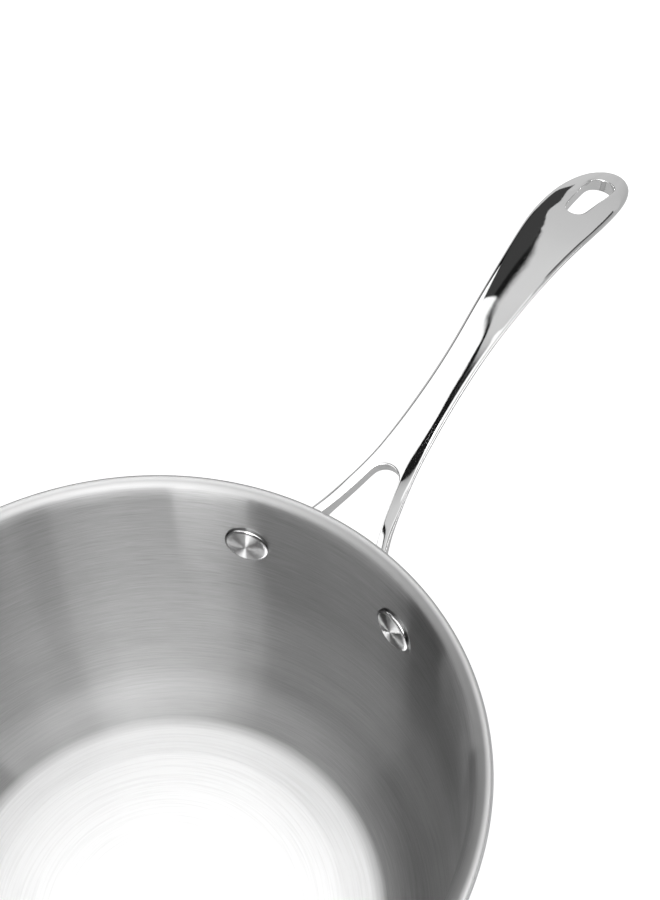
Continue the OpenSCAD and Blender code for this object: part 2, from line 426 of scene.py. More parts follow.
    def done(self, shader: Node) -> Material:
        """Link the last shader to the output and give the finished material."""
        self.add("ShaderNodeOutputMaterial", {0: shader.outputs[0]})
        return self.material


@dataclass(frozen=True)
class Metal:
    """One metal finish: its colour, gloss and brushing. A noise has a scale, octaves and their strength."""

    name: str
    colour: Colour
    roughness: float
    grain: float
    brushing: Brushing
    wear: float = 0.0
    patches: float = 0.08
    ring_stretch: float = 0.012
    line_stretch: float = 0.03
    fine: tuple[float, int, float] = (9000, 4, 0.6)
    broad: tuple[float, int, float] = (1500, 3, 0.5)
    blotch: tuple[float, int, float] = (35, 3, 0.5)
    fine_share: float = 0.6
    bump: float = 0.12
    bump_height: float = 0.02 * MM

    def make(self) -> Material:
        """Build the material's nodes.

        Returns:
            The finished material.
        """
        graph = Graph(self.name)
        if self.brushing is Brushing.ROUND:
            lines = graph.rings(self.ring_stretch)
        else:
            lines = graph.add("ShaderNodeMapping", {0: graph.place, 3: (self.line_stretch, 1, 1)}).outputs[0]
        mixed = graph.math("ADD", graph.math("MULTIPLY", graph.noise(lines, *self.fine), self.fine_share),
                           graph.math("MULTIPLY", graph.noise(lines, *self.broad), 1 - self.fine_share))
        blotch = graph.noise(graph.place, *self.blotch)
        rough = graph.math("ADD", graph.vary(mixed, 0, self.grain),
                           graph.vary(blotch, self.roughness, self.roughness * self.patches))
        tone = graph.scale(self.colour, graph.vary(mixed, 1, self.wear))
        bump = {"Strength": self.bump, "Distance": self.bump_height, "Height": mixed}
        return graph.done(graph.metal(tone, rough, Normal=graph.add("ShaderNodeBump", bump).outputs[0]))


@dataclass(frozen=True)
class Satin:
    """The bowl's inside: a wall brushed round and round, a lip in a lighter colour that is painted light, a
    polished rim whose top is lightened as a painted highlight, and a satin floor whose pale colour is partly
    painted light.

    The lip and rim begin and end at a height. The rows go by millimetres along the bowl's profile; the
    corner's row darkens the wall with painted shade where it rises from the corner.
    """

    name: str = "satin_steel"
    colour: Colour = (0.24, 0.24, 0.24)
    # The lip's lighter colour than the wall is painted light.
    lip_painted_light_colour: Colour = (0.32, 0.32, 0.32)
    lip_edge: Point = (100.8 * MM, 105.6 * MM)
    # The rim's colour lightens from the first to the second towards its top: a painted highlight.
    rim_painted_highlight_colours: tuple[Colour, Colour] = ((0.29, 0.29, 0.29), (0.58, 0.58, 0.58))
    rim_roughness: float = 0.46
    rim_edge: Point = (103.4 * MM, 105.2 * MM)
    rim_top: Point = (105.4 * MM, 106 * MM)
    roughness: float = 0.3
    roughness_part: float = 0.05
    anisotropy: float = 0.87
    # The floor's pale colour is partly its satin finish and partly painted light.
    floor_colour: Colour = (0.98, 0.98, 0.98)
    floor_roughness: float = 0.5
    reach: float = 200
    floor_fade: Rows = (
        (68.7, 0), (71.6, 0.42), (74.2, 0.86), (80, 0.9), (95, 0.91), (112, 0.91), (128, 0.95), (150, 1))
    # Painted shade: the wall's colour darkens by up to about a quarter where it rises from the corner.
    corner_painted_shade: Rows = (
        (74, 1), (78, 0.9), (82, 0.8), (86, 0.74), (90, 0.78), (94, 0.88), (99, 0.95), (104, 1))
    streak_ws: Point = (0.16 * MM, 0.7 * MM)
    streak_ls: Point = (9 * MM, 26 * MM)
    streak_depths: Point = (0.125, 0.055)
    streak_detail: tuple[int, float] = (2, 0.6)
    streak_span: Point = (0.25, 0.75)
    fine_span: Point = (0.9, 1.1)

    def streaks(self, graph: Graph, width: float, length: float, depth: float) -> Socket:
        """Fine lines that run round the bowl, of a width, length and depth, as a factor of its brightness."""
        noise = graph.noise(graph.rings(width / length), 1 / width, *self.streak_detail)
        return graph.vary(noise, 1, depth, self.streak_span)

    def make(self) -> Material:
        """Build the material's nodes.

        Returns:
            The finished material.
        """
        graph = Graph(self.name)
        height = graph.axes[2]
        along = graph.math("DIVIDE", graph.run, MM)
        fine, broad = (self.streaks(graph, *sizes)
                       for sizes in zip(self.streak_ws, self.streak_ls, self.streak_depths))
        # The shade is the streaks' random tone times painted shade where the wall rises from the corner.
        shade = graph.math("MULTIPLY", graph.math("MULTIPLY", fine, broad),
                           graph.ramp(along, self.corner_painted_shade, self.reach))
        # Painted light: towards the top the wall blends to the lip's lighter colour.
        wall_and_painted_lip_tone = graph.blend(graph.spread(height, *self.lip_edge), self.colour, self.lip_painted_light_colour)
        rough = graph.vary(fine, self.roughness, self.roughness * self.roughness_part, self.fine_span)
        tangent = graph.add("ShaderNodeTangent", direction_type="RADIAL", axis="Z").outputs[0]
        wall = graph.brushed(graph.scale(wall_and_painted_lip_tone, shade), rough, self.anisotropy, tangent)
        # The floor's pale colour is partly painted light.
        floor = graph.metal(graph.scale(self.floor_colour, broad), self.floor_roughness)
        # Painted highlight: the rim's colour lightens towards its top.
        rim_tone_with_painted_highlight = graph.blend(graph.spread(height, *self.rim_top), *self.rim_painted_highlight_colours)
        bowl = graph.mix(graph.ramp(along, self.floor_fade, self.reach), floor, wall)
        return graph.done(graph.mix(graph.spread(height, *self.rim_edge), bowl,
                                    graph.metal(rim_tone_with_painted_highlight, self.rim_roughness)))


@dataclass(frozen=True)
class Turned:
    """A rivet's finish: faced on a lathe, so that fine grooves run round its axis, with a polished edge."""

    name: str
    centre: Place
    axis: Place
    colour: Colour = (0.5, 0.5, 0.5)
    roughness: float = 0.4
    anisotropy: float = 0.87
    groove_w: float = 0.14 * MM
    groove_depth: float = 0.07
    groove_detail: tuple[int, float] = (3, 0.6)
    edge_colour: Colour = (0.62, 0.62, 0.62)
    edge_roughness: float = 0.14
    edge: Point = (5.9 * MM, 6.8 * MM)

    def make(self) -> Material:
        """Build the material's nodes.

        Returns:
            The finished material.
        """
        graph = Graph(self.name)
        way = graph.vector("CROSS_PRODUCT", self.axis, graph.vector("SUBTRACT", graph.place, self.centre))
        radius = graph.length(way)
        rings = graph.add("ShaderNodeCombineXYZ", {0: radius}).outputs[0]
        shade = graph.vary(graph.noise(rings, 1 / self.groove_w, *self.groove_detail), 1, self.groove_depth)
        face = graph.brushed(graph.scale(self.colour, shade), self.roughness, self.anisotropy, way)
        edge = graph.metal(self.edge_colour, self.edge_roughness)
        return graph.done(graph.mix(graph.spread(radius, *self.edge), face, edge))


@dataclass
class Bowl:
    """The bowl of bonded three-ply sheet: floor, rounded corner, wall and flared lip."""

    inside_r: float = 90 * MM
    height: float = 105.9 * MM
    corner_r: float = 22 * MM
    flare_r: float = 6.5 * MM
    flare_angle: float = 74
    lip_bulge: float = 1.0 * MM
    ply_ts: tuple[float, float, float] = (0.5 * MM, 1.7 * MM, 0.5 * MM)
    turn_steps: int = 256
    corner_steps: int = 22
    flare_steps: int = 20
    edge_steps: int = 8
    floor_steps: int = 6
    wall_steps: int = 8

    def __post_init__(self) -> None:
        """Work out the sizes that follow from the others."""
        self.flare_turn = math.radians(self.flare_angle)
        self.wall_t = sum(self.ply_ts)
        self.outside_r = self.inside_r + self.wall_t
        self.flare_z = self.height - self.flare_r * math.sin(self.flare_turn)
        self.lip_r = self.lip_point(self.wall_t / 2)[0]

    def flare_point(self, depth: float, turn: float, out: float = 0.0) -> Point:
        """Radius and height of a point at one depth and turn of the flare, or so far out beyond it."""
        arm = self.flare_r - depth
        return (self.inside_r + self.flare_r - arm * math.cos(turn) + out * math.sin(turn),
                self.flare_z + arm * math.sin(turn) + out * math.cos(turn))

    def lip_point(self, depth: float) -> Point:
        """Point of the lip's rounded edge at one depth of the sheet."""
        out = self.lip_bulge * math.sqrt(max(0.0, 1 - (2 * depth / self.wall_t - 1) ** 2))
        return self.flare_point(depth, self.flare_turn, out)

    def sheet_line(self, depth: float) -> list[Point]:
        """Outline of one face of the sheet, from the axis to the lip.

        Args:
            depth: Depth of the face below the inside of the bowl.

        Returns:
            Radii and heights.
        """
        floor_r, arm = self.inside_r - self.corner_r, self.corner_r + depth
        centre_z = self.wall_t + self.corner_r
        points = [(floor_r * i / self.floor_steps, self.wall_t - depth) for i in range(self.floor_steps)]
        points += [(floor_r + arm * math.sin(turn), centre_z - arm * math.cos(turn))
                   for turn in turns(self.corner_steps)]
        points += [(self.inside_r + depth, centre_z + (self.flare_z - centre_z) * i / self.wall_steps)
                   for i in range(1, self.wall_steps)]
        return points + [self.flare_point(depth, turn) for turn in turns(self.flare_steps, self.flare_turn)]

    def ply(self, name: str, near: float, far: float) -> Piece:
        """Lathe one ply between two depths below the inside of the bowl.

        Args:
            name: The piece's name.
            near: Depth of its inner face.
            far: Depth of its outer face.

        Returns:
            The ply's mesh object.
        """
        edge = [self.lip_point(near + (far - near) * (1 - math.cos(turn)) / 2)
                for turn in turns(self.edge_steps, math.pi)]
        if near == 0:
            edge = edge[1:]
        if far >= self.wall_t:
            edge = edge[:-1]
        outline = self.sheet_line(near) + edge + self.sheet_line(far)[::-1]
        return Bench.lathe(name, [(r, 0, z) for r, z in outline], (0, 0, 0), (0, 0, 1), self.turn_steps)

    def build(self, inside: Satin, core: Metal, outside: Metal) -> None:
        """Make the three plies and dress them.

        Args:
            inside: Finish of the inner ply.
            core: Finish of the core.
            outside: Finish of the outer ply.
        """
        first = self.ply_ts[0]
        second = first + self.ply_ts[1]
        rows = (("bowl_inside_ply", 0.0, first, "inner_ply", "brushed_inside", inside),
                ("bowl_core", first, second, "aluminium_core", "core", core),
                ("bowl_outside_ply", second, self.wall_t, "outer_ply", "polished_outside", outside))
        for name, near, far, node, slot, metal in rows:
            Bench.finish(self.ply(name, near, far), [node], slot, metal.make())


@dataclass
class Plate:
    """The mounting plate: a round-ended strip that hugs the bowl's outside. Lengths are in millimetres."""

    bowl: Bowl
    height: float = 24
    thickness: float = 3.2
    edge_r: float = 0.8
    rivet_spread: float = 55.5
    rivet_drop: float = 22
    end_columns: int = 10
    middle_columns: int = 36
    rows: int = 16
    edge_layers: int = 4

    def __post_init__(self) -> None:
        """Work out the plate's outside radius and its two rivets' places."""
        self.outside_r = self.bowl.outside_r / MM + self.thickness
        self.middle_z = self.bowl.height / MM - self.rivet_drop
        self.end_y = self.outside_r * self.rivet_spread / 2 / (self.bowl.inside_r / MM)

    def place(self, spot: Vector) -> Vector:
        """Carry a grid point, counted in columns, rows and layers, to its place on the plate.

        Args:
            spot: Column along X, row along Y and layer down Z, as whole numbers.

        Returns:
            The place in metres.
        """
        column, row, layer = round(spot.x), round(spot.y), round(-spot.z)
        side = -1 if column < 0 else 1
        across = abs(column) - self.middle_columns / 2
        up = row / (self.rows / 2)
        turn = math.pi / 2 * passed(layer, 0, self.edge_layers)
        depth = self.edge_r * (1 - math.cos(turn)) if layer <= self.edge_layers else self.thickness
        reach = self.height / 2 - self.edge_r * (1 - math.sin(turn))
        if across <= 0:
            y, z = self.end_y * (1 + across / (self.middle_columns / 2)), reach * up
        else:
            out = across / self.end_columns
            y = self.end_y + reach * out * math.sqrt(1 - up ** 2 / 2)
            z = reach * up * math.sqrt(1 - out ** 2 / 2)
        r = self.outside_r - depth
        return Vector((math.sqrt(r ** 2 - y ** 2), side * y, self.middle_z + z)) * MM

    def shape(self) -> Piece:
        """Shape the closed plate from a flat grid."""
        cells = (self.middle_columns + 2 * self.end_columns, self.rows, self.edge_layers + 1)
        return Bench.block("mounting_plate", cells, self.place)


@dataclass
class Handle:
    """The forked handle: two arms, a waisted grip, a paddle with its eye, and the mounting plate.

    Lengths are in millimetres, and a place along the handle is its distance from the bowl's axis. The rises
    and widths go by shares of the handle's reach. The last fields lay out the grid: its rows and lines, and
    where each of the five layers of a section lies.
    """

    plate: Plate
    reach: float = 167.5
    rise: float = 25.4
    root_drop: float = 10.4
    root_w: float = 32.3
    waist_w: float = 12.1
    paddle_w: float = 23.2
    grip_t: float = 4.4
    root_t: float = 10
    root_share: float = 0.06
    root_w_share: float = 0.635
    crown_h: float = 0.7
    edge_r: float = 0.8
    belly_w: float = 5
    arm_belly_w: float = 1.5
    arm_w: float = 4
    arm_swell: float = 0.1
    arm_fade: float = 1.6
    fork_reach: float = 28
    crotch_l: float = 5
    eye_l: float = 25.8
    eye_w: float = 10.1
    eye_neck_w: float = 7.4
    eye_rim: float = 8
    eye_dip: float = 0.06
    tip_share: float = 0.718
    rim_r: float = 0.45
    shoulder: float = 0.95
    arm_crown: float = 0.2
    arm_flat: Point = (105, 113)
    crown_powers: Point = (2.4, 4)
    crown_turn: Point = (126, 143)
    fork_crown: float = 0.08
    root_x: float = 94.8
    root_fillet: float = 1.5
    fillet_fade: float = 1.8
    rises: Rows = ((0.17, -0.1), (0.34, 0.31), (0.5, 0.71), (0.62, 0.91), (0.73, 1), (0.84, 0.945),
                   (0.92, 0.845), (1, 0.735))
    widths: Rows = ((0.17, 0.385), (0.25, 0.125), (0.34, 0), (0.42, 0.015), (0.5, 0.185), (0.62, 0.51),
                    (0.73, 0.875), (0.85, 1.28), (1, 1.94))
    arm_xs: Numbers = (93.2, 94.8, 95.8, 96.8, 98.2, 100.8, 104.6, 109, 114)
    grip_xs: Numbers = (130, 136, 142.5, 149.5, 156.5, 163.5, 170.5, 177.5, 184.5, 191.5, 198.5, 205, 211,
                        216.5, 221.5)
    crotch_steps: Point = (-2.2, 1.6)
    neck_steps: Point = (-7.2, -3.2)
    eye_parts: Numbers = (0, 1 / 3, 2 / 3, 1)
    eye_steps: Point = (3.6, 6.6)
    tip_turns: Numbers = (0, 4, 8, 11.5, 15.5, 19.5, 22.5)
    tip_corner: tuple[float, float, float] = (24.5, 25.5, 28)
    corner_ease: float = 1.5
    rim_turns: Numbers = (0, 23, 45, 58)
    hole_turns: Numbers = (0, 29, 58, 68)
    hole_ease: float = 1.02
    line_shares: Numbers = (0, 0.2, 0.4, 0.55, 0.78, 1)
    lines: int = 6
    rim_line: int = 3
    layers: int = 4
    side_drop: float = 0.15
    side_top: float = 1.55
    side_z: float = 1.5
    side_parts: Point = (0.5, 0.87)
    side_ins: Numbers = (0.02, -0.03, 0.134, 0.5, 1)
    wall_edge: float = 0.5
    least_room: float = 0.1
    belly_shares: Point = (0.75, 0.8)
    tip_keep: float = 0.62
    tip_crown: float = 0.55

    def __post_init__(self) -> None:
        """Work out the places that follow from the sizes."""
        self.lip_r = self.plate.bowl.lip_r / MM
        self.top = self.plate.bowl.height / MM
        self.tip_x = self.lip_r + self.reach
        self.tip_start = self.lip_r + self.tip_share * self.reach
        self.crotch_x = self.lip_r + self.fork_reach
        self.eye_out = self.tip_x - self.eye_rim - self.eye_w / 2
        self.eye_in = self.tip_x - self.eye_rim - self.eye_l + self.eye_neck_w / 2
        self.heights = [(0, -self.root_drop)] + [(p, v * self.rise) for p, v in self.rises]
        root_end_w = self.waist_w + self.root_w_share * (self.root_w - self.waist_w)
        self.half_widths = [(0, self.root_w / 2), (self.root_share, root_end_w / 2)] + [
            (p, (self.waist_w + v * (self.paddle_w - self.waist_w)) / 2) for p, v in self.widths]
        self.lay_rows()

    def share(self, x: float) -> float:
        """Share of the reach at a place."""
        return (x - self.lip_r) / self.reach

    def top_z(self, x: float) -> float:
        """Height of the top face."""
        return self.top + smooth_rows(self.heights, self.share(x))

    def slope(self, x: float) -> float:
        """Slope of the top face, as an angle."""
        return math.atan2(self.top_z(x + self.edge_r) - self.top_z(x - self.edge_r), 2 * self.edge_r)

    def half_w(self, x: float) -> float:
        """Half of the handle's width."""
        past = max(0.0, (x - self.tip_start) / (self.tip_x - self.tip_start))
        return smooth_rows(self.half_widths, self.share(x)) * math.sqrt(max(0.0, 1 - past ** 2))

    def armed(self, x: float) -> float:
        """One on the arms, falling to nothing on the grip."""
        return 1 - passed(x, self.lip_r, self.lip_r + self.arm_fade * self.fork_reach)

    def thick(self, x: float) -> float:
        """Depth of the section."""
        extra = self.root_t - (1 + self.arm_swell) * self.grip_t
        return (self.grip_t * (1 + self.arm_swell * self.armed(x))
                + extra * (1 - passed(self.share(x), 0, self.root_share)) ** 2)

    def crown_share(self, x: float) -> float:
        """How much of the crown a section has: the arms flatten towards the bowl."""
        full = 1 + self.fork_crown * (1 - passed(x, *self.crown_turn))
        return self.arm_crown + (full - self.arm_crown) * passed(x, *self.arm_flat)

    def crown_power(self, x: float) -> float:
        """How late the crown bends down towards the side: sooner at the fork than on the grip."""
        low, high = self.crown_powers
        return low + (high - low) * passed(x, *self.crown_turn)

    def fillet(self, x: float) -> float:
        """How far the arms swell where they run out into the mounting plate."""
        end = self.root_x + self.fillet_fade * self.root_fillet
        return self.root_fillet * (1 - passed(x, self.root_x, end)) ** 2

    def belly(self, x: float) -> float:
        """Width of the round from the side to the flat of the underside."""
        return self.belly_w + (self.arm_belly_w - self.belly_w) * self.armed(x)

    def plain_row(self, x: float, edge: float | None = None) -> list[Point]:
        """Places of one side's lines in a straight row of the grid.

        Args:
            x: The row's place along the handle.
            edge: Half width of the hole beside the row, or None where there is none.

        Returns:
            Distance and offset of each line, from the middle to the side.
        """
        h = self.half_w(x)
        inner = h - self.shoulder
        if edge is None:
            offsets = [inner * share for share in self.line_shares] + [h]
        else:
            rim = edge + self.rim_r
            offsets = [0, edge / 2, edge, rim, (rim + inner) / 2, inner, h]
        return [(x, y) for y in offsets]

    def round_row(self, centre: float, radius: Point, way: int, side_x: float, rim: bool) -> list[Point]:
        """Places of the lines where a row follows the round end of a hole.

        Args:
            centre: The round's centre.
            radius: Its reach along and across the handle.
            way: 1 where the round points to the tip, -1 where it points to the bowl.
            side_x: Where the row meets the handle's side.
            rim: Whether the row is the one that carries the hole's rim.

        Returns:
            Distance and offset of each line, from the middle to the side.
        """
        row = []
        for n, turn in enumerate(self.rim_turns if rim else self.hole_turns):
            out = self.rim_r if rim or n == self.rim_line else 0.0
            angle = math.radians(turn)
            row.append((centre + way * (radius[0] * self.hole_ease + out) * math.cos(angle),
                        (radius[1] * self.hole_ease + out) * math.sin(angle)))
        side = (side_x, self.half_w(side_x))
        inner = (side_x, side[1] - self.shoulder)
        return row + [((row[-1][0] + inner[0]) / 2, (row[-1][1] + inner[1]) / 2), inner, side]

    def outline(self, turn: float, inset: float = 0.0) -> Point:
        """Point of the tip's oval outline, or inside it.

        Args:
            turn: Angle on the oval, in degrees.
            inset: Distance inwards, square to the outline.

        Returns:
            Distance and offset.
        """
        angle = math.radians(turn)
        length = self.tip_x - self.tip_start
        x = self.tip_start + length * math.cos(angle)
        y = self.half_w(x) if turn else 0.0
        width = smooth_rows(self.half_widths, self.share(x))
        normal = math.atan2(length * math.sin(angle), width * math.cos(angle))
        return x - inset * math.cos(normal), y - inset * math.sin(normal)

    def lay_rows(self) -> None:
        """Lay out the grid's rows along the handle, and note where its two holes lie."""
        gap_start = self.crotch_x - self.crotch_l
        gap_round = (self.crotch_l, self.half_w(gap_start) - self.arm_w)
        in_r, out_r = self.eye_neck_w / 2, self.eye_w / 2
        rows = []
        for x in (*self.arm_xs, gap_start):
            swell = self.fillet(x)
            row = self.plain_row(x, self.half_w(x) - self.arm_w - swell)
            rows.append(row[:-2] + [(x, y + swell) for _, y in row[-2:]])
        self.fork_end = len(rows)
        for step, rim in zip(self.crotch_steps, (False, True)):
            rows.append(self.round_row(gap_start, gap_round, 1, self.crotch_x + step, rim))
        rows += [self.plain_row(x) for x in self.grip_xs]
        for step, rim in zip(self.neck_steps, (True, False)):
            rows.append(self.round_row(self.eye_in, (in_r, in_r), -1, self.eye_in + step, rim))
        self.eye_start = len(rows) - 1
        for part in self.eye_parts:
            x = self.eye_in + (self.eye_out - self.eye_in) * part
            rows.append(self.plain_row(x, in_r + (out_r - in_r) * part))
        self.eye_end = len(rows)
        for step, rim in zip(self.eye_steps, (False, True)):
            rows.append(self.round_row(self.eye_out, (out_r, out_r), 1, self.eye_out + step, rim))
        self.rim_row = len(rows) - 1
        last, side, corner = self.tip_corner
        inner = [self.outline(turn, self.shoulder) for turn in self.tip_turns[:-2]]
        inner += [self.outline(last, self.corner_ease * self.shoulder), self.outline(side)]
        between = [((a[0] + b[0]) / 2, (a[1] + b[1]) / 2) for a, b in zip(rows[-1], inner[:-2])]
        between += [self.outline(corner, self.shoulder), self.outline(corner)]
        self.rows = [*rows, between, inner, [self.outline(turn) for turn in self.tip_turns]]

    def in_hole(self, cell: Vector) -> bool:
        """Whether a cell of the grid, by its middle, lies in the fork's gap or in the eye."""
        return abs(cell.y) < self.rim_line - 1 and (
            cell.x < self.fork_end or self.eye_start < cell.x < self.eye_end)

    def place(self, spot: Vector) -> Vector:
        """Carry a grid point, counted in rows, lines and layers, to its place on the handle.

        Args:
            spot: Row along X, line along Y and layer down Z, as whole numbers.

        Returns:
            The place in metres.
        """
        i, line, k = round(spot.x), round(abs(spot.y)), round(-spot.z)
        side = -1 if spot.y < 0 else 1
        x, y = self.rows[i][line]
        last = len(self.rows) - 1
        h = max(self.half_w(x), 0.5 * self.edge_r)
        t = self.thick(x)
        holed = i <= self.fork_end + 1 or i >= self.eye_start - 1
        near = self.rows[min(i, self.rim_row)]
        anchor = near[min(line, self.rim_line)] if holed else (x, 0.0)
        outer = line == self.lines or i == last
        hole_wall = holed and not outer and line < self.rim_line
        room = max(self.least_room, h - (near[self.rim_line][1] if holed else 0.0))
        keep = self.tip_keep if i > self.rim_row else 1 - min(self.belly_shares[holed], self.belly(x) / room)
        if i >= last - 1:
            crown = self.crown_h * (self.tip_crown if i < last else 1)
        else:
            bend = min(1.0, y / h) ** self.crown_power(x)
            crown = self.crown_h * self.crown_share(x) * min(1.0, h / (self.waist_w / 2)) * bend
        down = crown
        if outer:
            low, lower = (self.side_z + part * (t - self.side_z) for part in self.side_parts)
            down = (self.crown_h + self.side_drop, self.side_top * t / self.grip_t, low, lower, t)[k]
            share = self.side_ins[k] * (1 - keep)
            x, y = x + (anchor[0] - x) * share, y + (anchor[1] - y) * share
        elif k == self.layers:
            down = t
            if not hole_wall:
                x, y = anchor[0] + (x - anchor[0]) * keep, anchor[1] + (y - anchor[1]) * keep
        elif k:
            down += (0, self.wall_edge, t / 2, t - self.wall_edge)[k]
        elif hole_wall and line == self.rim_line - 1 and x >= self.crown_turn[1]:
            down += self.eye_dip
        down += self.fillet(x) * (2 * down / t - 1)
        slope = self.slope(x)
        return Vector((x + down * math.sin(slope), side * y, self.top_z(x) - down * math.cos(slope))) * MM

    def build(self, finish: Metal) -> None:
        """Shape the bar from one grid, join it to the mounting plate, and dress it.

        Args:
            finish: The casting's finish.
        """
        cells = (len(self.rows) - 1, 2 * self.lines, self.layers)
        piece = Bench.block("handle_bar", cells, self.place, cells[0] / 2, self.in_hole)
        Bench.modify(piece, "SUBSURF", levels=2, render_levels=2)
        plate = self.plate.shape()
        Bench.modify(piece, "BOOLEAN", operation="UNION", solver="EXACT", object=plate)
        bpy.data.meshes.remove(plate.data)
        piece.name = piece.data.name = "handle_casting"
        Bench.finish(piece, ["handle"], "mirror_cast", finish.make())


@dataclass
class Rivet:
    """One rivet: a low domed head inside the bowl, its shank and the tail outside the plate."""

    side: Side
    plate: Plate
    shank_r: float = 3 * MM
    head_r: float = 7.3 * MM
    head_edge: float = 0.9 * MM
    head_dome: float = 1.2 * MM
    tail_r: float = 5.3 * MM
    tail_h: float = 2.2 * MM
    steps: int = 96
    dome_steps: int = 18
    dome_power: float = 2.5
    flat_play: float = 0.01 * MM

    def __post_init__(self) -> None:
        """Work out the radii of the two faces that the rivet sits on, and the way that it points."""
        self.seats = (self.plate.bowl.inside_r, self.plate.outside_r * MM)
        turn = self.side.value * math.asin(self.plate.rivet_spread * MM / 2 / self.seats[0])
        self.out = Vector((math.cos(turn), math.sin(turn), 0))

    def outline(self) -> list[Point]:
        """Lay out half of the rivet's section.

        Returns:
            Distances from the bowl's axis and from the rivet's own, from the head's crown to the tail's.
        """
        wall, plate = self.seats
        power = 2 / self.dome_power
        head = [(wall - self.head_edge - self.head_dome * math.cos(turn) ** power,
                 self.head_r * math.sin(turn) ** power) for turn in turns(self.dome_steps)]
        tail = [(plate + self.tail_h / 2 * (1 + math.sin(turn)), self.tail_r * math.cos(turn))
                for turn in turns(self.dome_steps)]
        return [*head, (wall, self.head_r), (wall, self.shank_r), (plate, self.shank_r), (plate, self.tail_r),
                *tail]

    def seat(self, spot: Vector) -> Vector:
        """Lay a point of the head's or tail's flat back on the round wall or plate.

        Args:
            spot: The point.

        Returns:
            The point on the round face, or the same point where it belongs to neither back.
        """
        along, across = spot.xy.dot(self.out.xy), spot.x * self.out.y - spot.y * self.out.x
        for seat_r in self.seats:
            if abs(along - seat_r) < self.flat_play:
                return spot + self.out * (math.sqrt(seat_r ** 2 - across ** 2) - along)
        return spot

    def build(self) -> None:
        """Lathe the rivet, seat it on the curved wall and plate, and dress it."""
        name = f"rivet_{self.side.name.lower()}"
        centre = Vector((0, 0, self.plate.middle_z * MM))
        outline = [tuple(centre + self.out * a + Vector((0, 0, r))) for a, r in self.outline()]
        piece = Bench.lathe(f"{name}_steel", outline, tuple(centre), tuple(self.out), self.steps)
        Bench.take(piece)
        bpy.ops.object.mode_set(mode="EDIT")
        Bench.carry(piece, self.seat)
        bpy.ops.object.mode_set(mode="OBJECT")
        finish = Turned(f"turned_steel_{self.side.name.lower()}", tuple(centre), tuple(self.out))
        Bench.finish(piece, [name], "rivet_steel", finish.make())


@dataclass(frozen=True)
class Card:
    """A level card over the pan that only reflections show: a lamp where it glows, a flag where it is dark.

    Lengths are in millimetres. The glow is one for white, and the fade gives its share by places along X.
    """

    name: str
    glow: float
    height: float
    corners: Rows
    fade: Rows = ()

    def hang(self) -> None:
        """Set the card up on the stage."""
        name = f"card_{self.name}"
        piece = Bench.trace(name, [(x * MM, y * MM, self.height * MM) for x, y in self.corners])
        bpy.ops.mesh.edge_face_add()
        bpy.ops.object.mode_set(mode="OBJECT")
        graph = Graph(name)
        white = (1, 1, 1)
        if self.fade:
            white = graph.ramp(graph.math("DIVIDE", graph.axes[0], MM), self.fade, Tent.radius / MM)
        piece.data.materials.append(graph.done(graph.glow(white, self.glow)))
        Studio.show_in_reflections(piece)


@dataclass(frozen=True)
class Fan:
    """Lamp panels overhead, laid out like a fan: each one lights a single upright strip of the bowl's wall.

    A strip has the angle at which it begins, its panel's glow and the panel's far end. Lengths are in
    millimetres.
    """

    camera: Place
    wall_r: float = Bowl.inside_r / MM
    near: float = 90
    height: float = 620
    step: float = 0.4
    strips: tuple[tuple[float, float, float], ...] = (
        (-64, 0, 1550), (-26, 0, 1550), (-18, 0.4, 1550), (-8, 2, 1550), (0, 1.6, 1550), (8, 1.2, 1550),
        (14, 1.2, 1550), (20.5, 3.8, 1550), (26, 5.3, 1550), (33, 5.4, 1250), (42, 5.5, 1200),
        (50, 4.8, 1200), (56, 3.1, 1200), (60, 2.5, 1550), (62, 3.2, 1550), (68, 2.4, 1550), (76, 4, 1550),
        (86, 4.5, 1550), (98, 0, 1550))

    def spot(self, turn: float, reach: float) -> Point:
        """Point of the upright plane that one line of the wall mirrors to the camera.

        Args:
            turn: The wall line's angle round the bowl, in degrees.
            reach: Level distance from the wall line.

        Returns:
            The point, seen from above.
        """
        out = Vector((math.cos(math.radians(turn)), math.sin(math.radians(turn))))
        wall = self.wall_r * out
        sight = (wall - Vector(self.camera[:2]) / MM).normalized()
        there = wall + reach * (sight - 2 * sight.dot(out) * out)
        return there.x, there.y

    def cards(self) -> list[Card]:
        """Lay the panels out.

        Returns:
            One card for each strip.
        """
        panels = []
        for n, ((low, glow, far), (high, *_)) in enumerate(zip(self.strips, self.strips[1:])):
            corners = tuple(self.spot(*end) for end in (
                (low, self.near), (low, far), (high, far), (high, self.near)))
            panels.append(Card(f"fan_{n}", glow, self.height + n * self.step, corners))
        return panels


